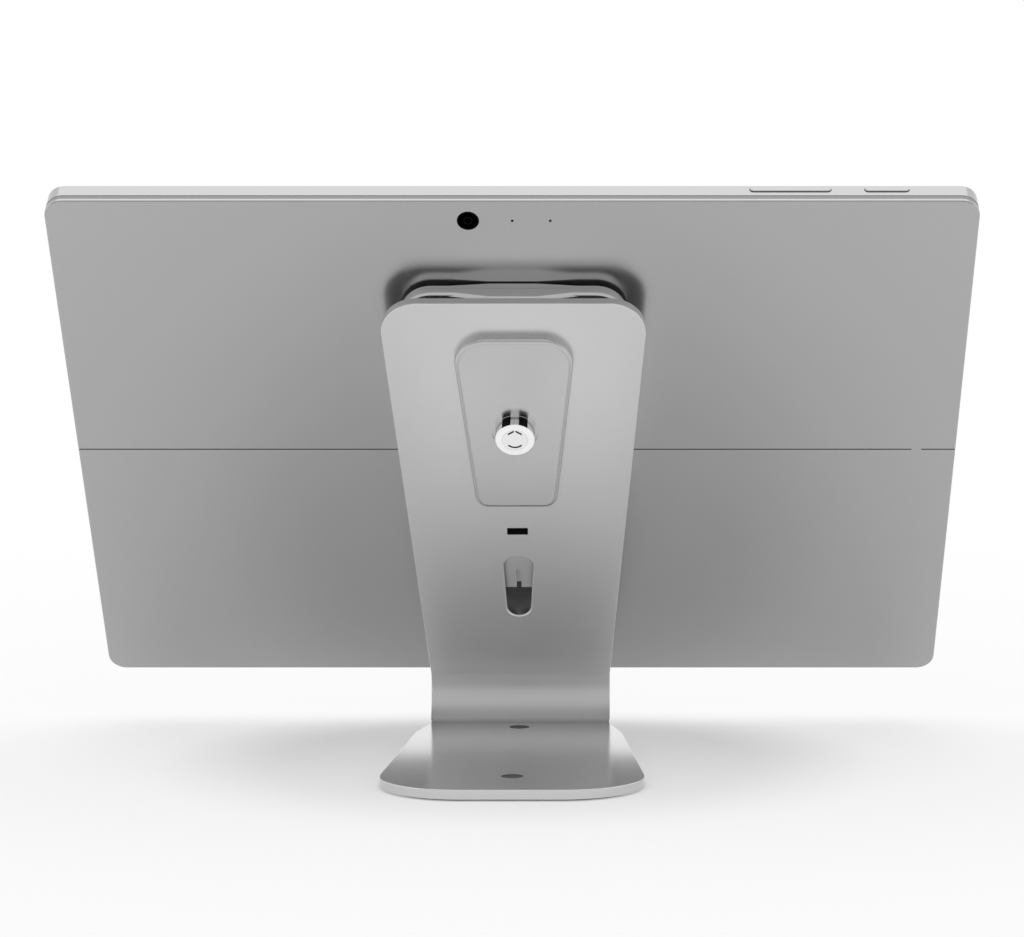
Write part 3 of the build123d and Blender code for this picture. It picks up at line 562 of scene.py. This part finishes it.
# The rear camera: its place and the radius and depth of the points round its two rings
CAMERA_ACROSS = -0.01385
CAMERA_HEIGHT = TABLET_TOP - 0.0075
CAMERA_RINGS = (
    ((0.0011, -0.00009), (0.0012, -0.00006), (0.0014, -0.00006), (0.0015, -0.00009)),
    ((0.0030, -0.00009), (0.0031, -0.00005), (0.00335, -0.00005), (0.0034, -0.00009)),
)

# The sensors behind the cover glass: place across and radius
SENSOR_HEIGHT = TABLET_TOP - 0.0060
SENSORS = ((0.0, 0.0014), (-0.0095, 0.0009), (0.0095, 0.0007))

# A speaker grille: its place, slats, and the wires behind them
SPEAKER_HEIGHT = 0.1467
SPEAKER_ACROSS = 0.1396
SLAT_COUNT = 23
SLAT_PITCH = 0.00056
SLAT_HALF = 0.00052
SLAT_RISE = 0.00015
SLAT_EASE = 0.00005
WIRE_PLACES = (-0.0003, 0.0, 0.0003)
WIRE_HALF = 0.00005
WIRE_RISE = 0.0064


def vent_path(inset):
    """Points round the upper half of the tablet's outline, moved inwards."""
    side = TABLET_HALF - inset
    top = TABLET_TOP - inset
    radius = CORNER_RADIUS - inset
    arc = [step * pi / 24 for step in range(13)]
    right = [(side, VENT_FOOT)]
    right += [(side - radius * (1 - cos(angle)), top - radius * (1 - sin(angle))) for angle in arc]
    return right + [(-across, height) for across, height in reversed(right)]


class TABLET_OT_shell(bpy.types.Operator):
    """Fine satin metal on the shell, kickstand and buttons"""
    bl_idname = "tablet.shell"
    bl_label = "Finish the tablet's shell"

    def execute(self, context):
        looks = context.scene.tablet_looks
        tint = tuple(looks.shell_colour)
        sheen = looks.shell_roughness
        satin_metal("shell_satin", tint, sheen, 0.0004, ["rear_shell", "kickstand"], 0.08, 0.000003)
        satin_metal("button_satin", tint, sheen, 0.0004, ["volume_rocker", "power_button"], 0.02)
        return {"FINISHED"}


class TABLET_OT_screen(bpy.types.Operator):
    """Black cover glass with the sleeping display's faint outline, and the glass of the rear camera"""
    bl_idname = "tablet.screen"
    bl_label = "Finish the screen and lens"

    def execute(self, context):
        looks = context.scene.tablet_looks
        low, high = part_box("display_panel")
        middle = (low + high) / 2
        finish, shader = surface("cover_glass_black")
        across = abs(finish.along(LEFT, middle))
        along = abs(finish.along(UP, middle))
        inside = (across < DISPLAY_HALF) * (along < DISPLAY_RISE)
        smear = finish.noise(0.03, detail=6.0, roughness=0.7)
        dress(
            finish, shader, ["cover_glass"],
            base_color=finish.mix(inside, tuple(looks.glass_colour), tuple(looks.display_colour)),
            roughness=0.03 + 0.05 * finish.ramp(smear, (0.5, 0.0), (0.8, 1.0)),
        )
        shader.inputs["IOR"].default_value = 1.5
        shader.inputs["Coat Weight"].default_value = 0.3
        shader.inputs["Coat Roughness"].default_value = 0.02
        finish, shader = surface("lens_glass")
        dress(
            finish, shader, ["camera_lens"],
            base_color=tuple(looks.lens_colour),
            roughness=0.12 + 0.03 * finish.noise(0.002),
        )
        shader.inputs["Specular IOR Level"].default_value = 0.0
        plain_plastic("display_back", (0.02, 0.02, 0.022), 0.4, 0.002, ["display_panel"])
        return {"FINISHED"}


class TABLET_OT_trim(bpy.types.Operator):
    """Rings of the rear camera, sensors behind the glass, speaker grilles and the vent strip, whose dark
    grey is partly its own and partly painted shade of the groove
    """
    bl_idname = "tablet.trim"
    bl_label = "Add the tablet's trim"

    def execute(self, context):
        looks = context.scene.tablet_looks
        rings = bmesh.new()
        for profile in CAMERA_RINGS:
            turn(rings, CAMERA_ACROSS, CAMERA_HEIGHT, profile)
        sensors = bmesh.new()
        for across, radius in SENSORS:
            turn(sensors, across, SENSOR_HEIGHT, (
                (0.35 * radius, GLASS_FACE - 0.00001), (0.4 * radius, GLASS_FACE - 0.00002),
                (0.9 * radius, GLASS_FACE - 0.00002), (radius, GLASS_FACE + 0.00001),
            ))
        plain_plastic("lens_trim", (0.003, 0.003, 0.004), 0.35, 0.0006, specular=0.06, pieces=[
            build("camera_rings", rings, smooth=True),
            build("front_sensors", sensors, smooth=True),
        ])
        vent = bmesh.new()
        rows = []
        for inset, depth in VENT_SECTION:
            rows.append([vent.verts.new(leaning(*point, depth)) for point in vent_path(inset)])
        for first, second in zip(rows, rows[1:]):
            for step in range(len(first) - 1):
                vent.faces.new((first[step], first[step + 1], second[step + 1], second[step]))
        # The strip sits nearly flush in the groove; its dark grey is partly painted shade.
        plain_plastic("vent_shade_insert", tuple(looks.vent_and_shade_colour), 0.45, 0.0005, pieces=[
            build("vent_strip", vent),
        ])
        grilles = bmesh.new()
        for side in (-1, 1):
            across = side * SPEAKER_ACROSS
            for step in range(SLAT_COUNT):
                height = SPEAKER_HEIGHT + (step - SLAT_COUNT // 2) * SLAT_PITCH
                bar(grilles, (across - SLAT_HALF, height - SLAT_RISE, GLASS_FACE + 0.00020),
                    (across + SLAT_HALF, height + SLAT_RISE, GLASS_FACE + 0.00062), SLAT_EASE)
            for offset in WIRE_PLACES:
                place = across + offset
                bar(grilles, (place - WIRE_HALF, SPEAKER_HEIGHT - WIRE_RISE, GLASS_FACE + 0.00030),
                    (place + WIRE_HALF, SPEAKER_HEIGHT + WIRE_RISE, GLASS_FACE + 0.00052))
        plain_plastic("grille_black", (0.012, 0.012, 0.013), 0.45, 0.0004, pieces=[
            build("speaker_grilles", grilles),
        ])
        return {"FINISHED"}


class TABLET_OT_inside(bpy.types.Operator):
    """Board, cells, modules and sockets inside the tablet"""
    bl_idname = "tablet.inside"
    bl_label = "Finish the inside"

    def execute(self, context):
        looks = context.scene.tablet_looks
        plain_plastic("solder_mask", tuple(looks.board_colour), 0.4, 0.0015, ["main_board"])
        plain_plastic("cell_wrap", tuple(looks.cell_colour), 0.5, 0.003, ["battery_cells"])
        plain_plastic(
            "module_black", (0.02, 0.02, 0.021), 0.6, 0.0006,
            ["speakers", "camera_module", "front_camera", "mic_inserts", "button_bracket"],
        )
        satin_metal(
            "socket_steel", (0.5, 0.5, 0.51), 0.3, 0.0003, ["charge_socket", "headphone_jack"], 0.01
        )
        return {"FINISHED"}


# Studio

# The camera: place in metres, degrees below level, and sideways shift as a share of its frame
CAMERA_PLACE = (-0.024, 0.9465, 0.164)
CAMERA_DIP = 4.09
CAMERA_SHIFT = -0.0752

# The heights of the grey card's rows in metres and the degrees that it reaches to each side
FLAG_ROWS = (0.0, 1.2, 2.4, 3.6)
FLAG_REACH = 60
FLAG_STEP = 10


class STUDIO_OT_camera(bpy.types.Operator):
    """Camera at the photograph's angle"""
    bl_idname = "studio.camera"
    bl_label = "Set the camera"

    def execute(self, context):
        looks = context.scene.studio_looks
        data = bpy.data.cameras.new("studio_camera")
        camera = bpy.data.objects.new("studio_camera", data)
        context.scene.collection.objects.link(camera)
        camera.location = CAMERA_PLACE
        camera.rotation_euler = (radians(90.0 - CAMERA_DIP), 0.0, radians(180.0))
        data.sensor_width = 36.0
        data.lens = looks.lens
        data.shift_x = CAMERA_SHIFT
        data.clip_start = 0.05
        data.clip_end = 60.0
        context.scene.camera = camera
        return {"FINISHED"}


def stage_piece(name, shape):
    """A surface of the studio with a bare finish, which isn't part of the stand."""
    mesh = bpy.data.meshes.new(name)
    shape.to_mesh(mesh)
    shape.free()
    thing = bpy.data.objects.new(name, mesh)
    bpy.context.scene.collection.objects.link(thing)
    finish = Finish(bpy.data.materials.new(name))
    mesh.materials.append(finish.owner)
    return thing, finish


class STUDIO_OT_floor(bpy.types.Operator):
    """Pale floor that keeps the shadow and passes into the white background"""
    bl_idname = "studio.floor"
    bl_label = "Lay the floor"

    def execute(self, context):
        looks = context.scene.studio_looks
        shape = bmesh.new()
        bmesh.ops.create_grid(shape, x_segments=8, y_segments=8, size=looks.floor_half)
        finish = stage_piece("studio_floor", shape)[1]
        shader = finish.tree.nodes["Principled BSDF"]
        finish.feed(shader.inputs["Base Color"], tuple(looks.floor_colour))
        shader.inputs["Roughness"].default_value = 0.9
        shader.inputs["Specular IOR Level"].default_value = 0.0
        reach = finish.add("ShaderNodeVectorMath", {"operation": "LENGTH"}, {0: finish.place()}, 1)
        far = finish.ramp(
            reach / 2.0, (0.040, 0.28), (0.060, looks.floor_glow), (0.10, looks.floor_glow), (0.42, 1.0)
        )
        far = far * (0.6 + 0.4 * finish.add("ShaderNodeLightPath"))
        glow = finish.add("ShaderNodeEmission", {}, {"Color": (1.0, 1.0, 1.0), "Strength": 1.0})
        blend = finish.add(
            "ShaderNodeMixShader", {}, {0: far, 1: Signal(finish, shader.outputs["BSDF"]), 2: glow}
        )
        finish.feed(finish.tree.nodes["Material Output"].inputs["Surface"], blend)
        return {"FINISHED"}


class STUDIO_OT_flag(bpy.types.Operator):
    """Grey card behind the camera, unseen by it, that the metal mirrors as its darker tones"""
    bl_idname = "studio.flag"
    bl_label = "Stand the grey card"

    def execute(self, context):
        looks = context.scene.studio_looks
        shape = bmesh.new()
        rows = []
        reach = looks.flag_distance
        for height in FLAG_ROWS:
            rows.append([
                shape.verts.new((reach * sin(radians(angle)), reach * cos(radians(angle)), height))
                for angle in range(-FLAG_REACH, FLAG_REACH + 1, FLAG_STEP)
            ])
        for below, above in zip(rows, rows[1:]):
            for step in range(len(below) - 1):
                shape.faces.new((below[step], below[step + 1], above[step + 1], above[step]))
        flag, finish = stage_piece("studio_flag", shape)
        glow = finish.add("ShaderNodeEmission", {}, {"Color": tuple(looks.flag_colour), "Strength": 1.0})
        finish.feed(finish.tree.nodes["Material Output"].inputs["Surface"], glow)
        flag.visible_camera = False
        return {"FINISHED"}


class STUDIO_OT_light(bpy.types.Operator):
    """White surroundings and one wide soft lamp above"""
    bl_idname = "studio.light"
    bl_label = "Light the studio"

    def execute(self, context):
        looks = context.scene.studio_looks
        world = bpy.data.worlds.new("studio_white")
        context.scene.world = world
        finish = Finish(world)
        back = finish.tree.nodes["Background"]
        path = finish.add("ShaderNodeLightPath")
        seen = path + Signal(finish, path.socket.node.outputs["Is Glossy Ray"])
        seen = seen + Signal(finish, path.socket.node.outputs["Is Transmission Ray"])
        finish.feed(back.inputs["Color"], (1.0, 1.0, 1.0))
        finish.feed(back.inputs["Strength"], looks.sky_light + (1.0 - looks.sky_light) * (seen > 0.5))
        data = bpy.data.lights.new("studio_box", "AREA")
        data.energy = looks.box_power
        data.shape = "SQUARE"
        data.size = looks.box_side
        box = bpy.data.objects.new("studio_box", data)
        box.location = (0.0, -0.1, 1.6)
        context.scene.collection.objects.link(box)
        context.scene.view_settings.view_transform = "Standard"
        return {"FINISHED"}


class STAND_PT_panel(bpy.types.Panel):
    """The steps that dress the stand, in their order"""
    bl_idname = "STAND_PT_panel"
    bl_label = "Security stand"
    bl_space_type = "VIEW_3D"
    bl_region_type = "UI"
    bl_category = "Stand"

    def draw(self, context):
        for operator in OPERATORS:
            self.layout.operator(operator.bl_idname)
        for name in LOOKS:
            box = self.layout.box()
            group = getattr(context.scene, name)
            for key in group.__annotations__:
                box.prop(group, key)


LOOKS = {"stand_looks": StandLooks, "tablet_looks": TabletLooks, "studio_looks": StudioLooks}
OPERATORS = (
    STUDIO_OT_camera,
    STUDIO_OT_floor,
    STUDIO_OT_flag,
    STUDIO_OT_light,
    STAND_OT_plates,
    STAND_OT_pads,
    STAND_OT_lock,
    STAND_OT_fasteners,
    TABLET_OT_shell,
    TABLET_OT_screen,
    TABLET_OT_trim,
    TABLET_OT_inside,
)


def register():
    for group in LOOKS.values():
        bpy.utils.register_class(group)
    for name, group in LOOKS.items():
        setattr(bpy.types.Scene, name, PointerProperty(type=group))
    for operator in OPERATORS:
        bpy.utils.register_class(operator)
    bpy.utils.register_class(STAND_PT_panel)


def unregister():
    bpy.utils.unregister_class(STAND_PT_panel)
    for operator in reversed(OPERATORS):
        bpy.utils.unregister_class(operator)
    for name in LOOKS:
        delattr(bpy.types.Scene, name)
    for group in LOOKS.values():
        bpy.utils.unregister_class(group)


def main():
    """Dresses the stand step by step."""
    register()
    for operator in OPERATORS:
        group, name = operator.bl_idname.split(".")
        getattr(getattr(bpy.ops, group), name)()


if __name__ == "__main__":
    main()
